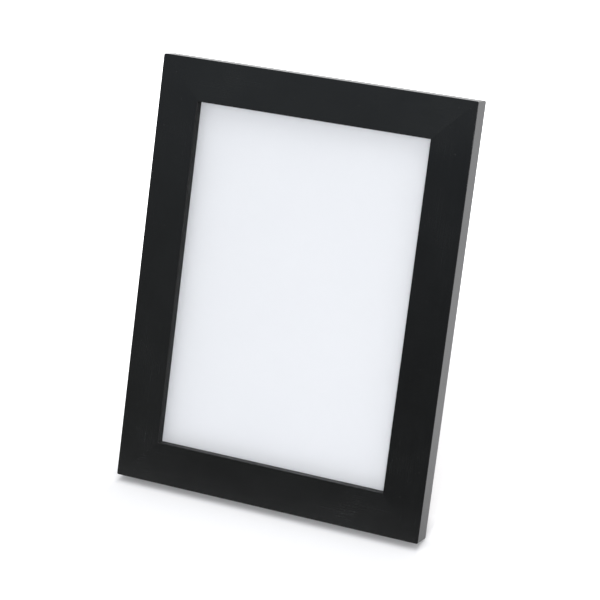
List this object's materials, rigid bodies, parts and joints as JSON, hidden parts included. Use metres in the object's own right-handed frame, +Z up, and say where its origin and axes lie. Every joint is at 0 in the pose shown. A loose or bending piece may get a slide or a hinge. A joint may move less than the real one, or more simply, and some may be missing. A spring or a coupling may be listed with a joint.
{
  "type": "photo frame",
  "caption": "Free-standing portrait photo frame: flat black wooden rails with a deep lip round a glazed white insert, leaning back on a folding easel strut.",
  "frame": {"origin": "middle of the footprint, on the surface that the frame stands on", "axes": "+X to the right seen from the front, +Y to the back, +Z up; the face looks to -Y and leans back 18 degrees"},
  "size_m": [0.162, 0.0856, 0.206],
  "materials": {
    "black_wood": "satin black paint",
    "clear_glass": "polished",
    "white_paper": "matt",
    "grey_card": "matt",
    "fibreboard": "raw smooth fibreboard",
    "zinc_steel": "zinc plated",
    "nail_steel": "dull"
  },
  "bodies": {
    "frame": {"top_rail": "black_wood", "bottom_rail": "black_wood", "left_stile": "black_wood", "right_stile": "black_wood", "glass_pane": "clear_glass", "photo_insert": "white_paper", "filler_card": "grey_card", "back_board": "fibreboard", "hinge_fixed_leaf": "zinc_steel", "hinge_pin": "zinc_steel", "board_rivet_left": "zinc_steel", "board_rivet_right": "zinc_steel", "hanger_strap": "zinc_steel", "hanger_rivet": "zinc_steel", "turn_button_screw_lower_left": "zinc_steel", "turn_button_screw_upper_left": "zinc_steel", "turn_button_screw_lower_right": "zinc_steel", "turn_button_screw_upper_right": "zinc_steel", "v_nail_bottom_left_outer": "nail_steel", "v_nail_bottom_left_inner": "nail_steel", "v_nail_bottom_right_outer": "nail_steel", "v_nail_bottom_right_inner": "nail_steel", "v_nail_top_left_outer": "nail_steel", "v_nail_top_left_inner": "nail_steel", "v_nail_top_right_outer": "nail_steel", "v_nail_top_right_inner": "nail_steel"},
    "strut": {"easel_strut": "fibreboard", "hinge_moving_leaf": "zinc_steel", "strut_rivet_left": "zinc_steel", "strut_rivet_right": "zinc_steel"},
    "button_lower_left": {"turn_button_lower_left": "zinc_steel"},
    "button_upper_left": {"turn_button_upper_left": "zinc_steel"},
    "button_lower_right": {"turn_button_lower_right": "zinc_steel"},
    "button_upper_right": {"turn_button_upper_right": "zinc_steel"},
    "ring": {"hanger_ring": "zinc_steel"}
  },
  "joints": [
    {"name": "strut_fold", "type": "hinge", "parent": "frame", "child": "strut", "pos_m": [0, 0.01367, 0.13234], "axis": [1, 0, 0], "range_deg": [-30, 0]},
    {"name": "button_turn_lower_left", "type": "hinge", "parent": "frame", "child": "button_lower_left", "pos_m": [-0.072, -0.01568, 0.04882], "axis": [0, 0.9511, -0.309], "continuous": true},
    {"name": "button_turn_upper_left", "type": "hinge", "parent": "frame", "child": "button_upper_left", "pos_m": [-0.072, 0.01832, 0.15343], "axis": [0, 0.9511, -0.309], "continuous": true},
    {"name": "button_turn_lower_right", "type": "hinge", "parent": "frame", "child": "button_lower_right", "pos_m": [0.072, -0.01568, 0.04882], "axis": [0, 0.9511, -0.309], "continuous": true},
    {"name": "button_turn_upper_right", "type": "hinge", "parent": "frame", "child": "button_upper_right", "pos_m": [0.072, 0.01832, 0.15343], "axis": [0, 0.9511, -0.309], "continuous": true},
    {"name": "ring_swing", "type": "hinge", "parent": "frame", "child": "ring", "pos_m": [0, 0.02812, 0.17811], "axis": [1, 0, 0], "range_deg": [-11, 162]}
  ]
}
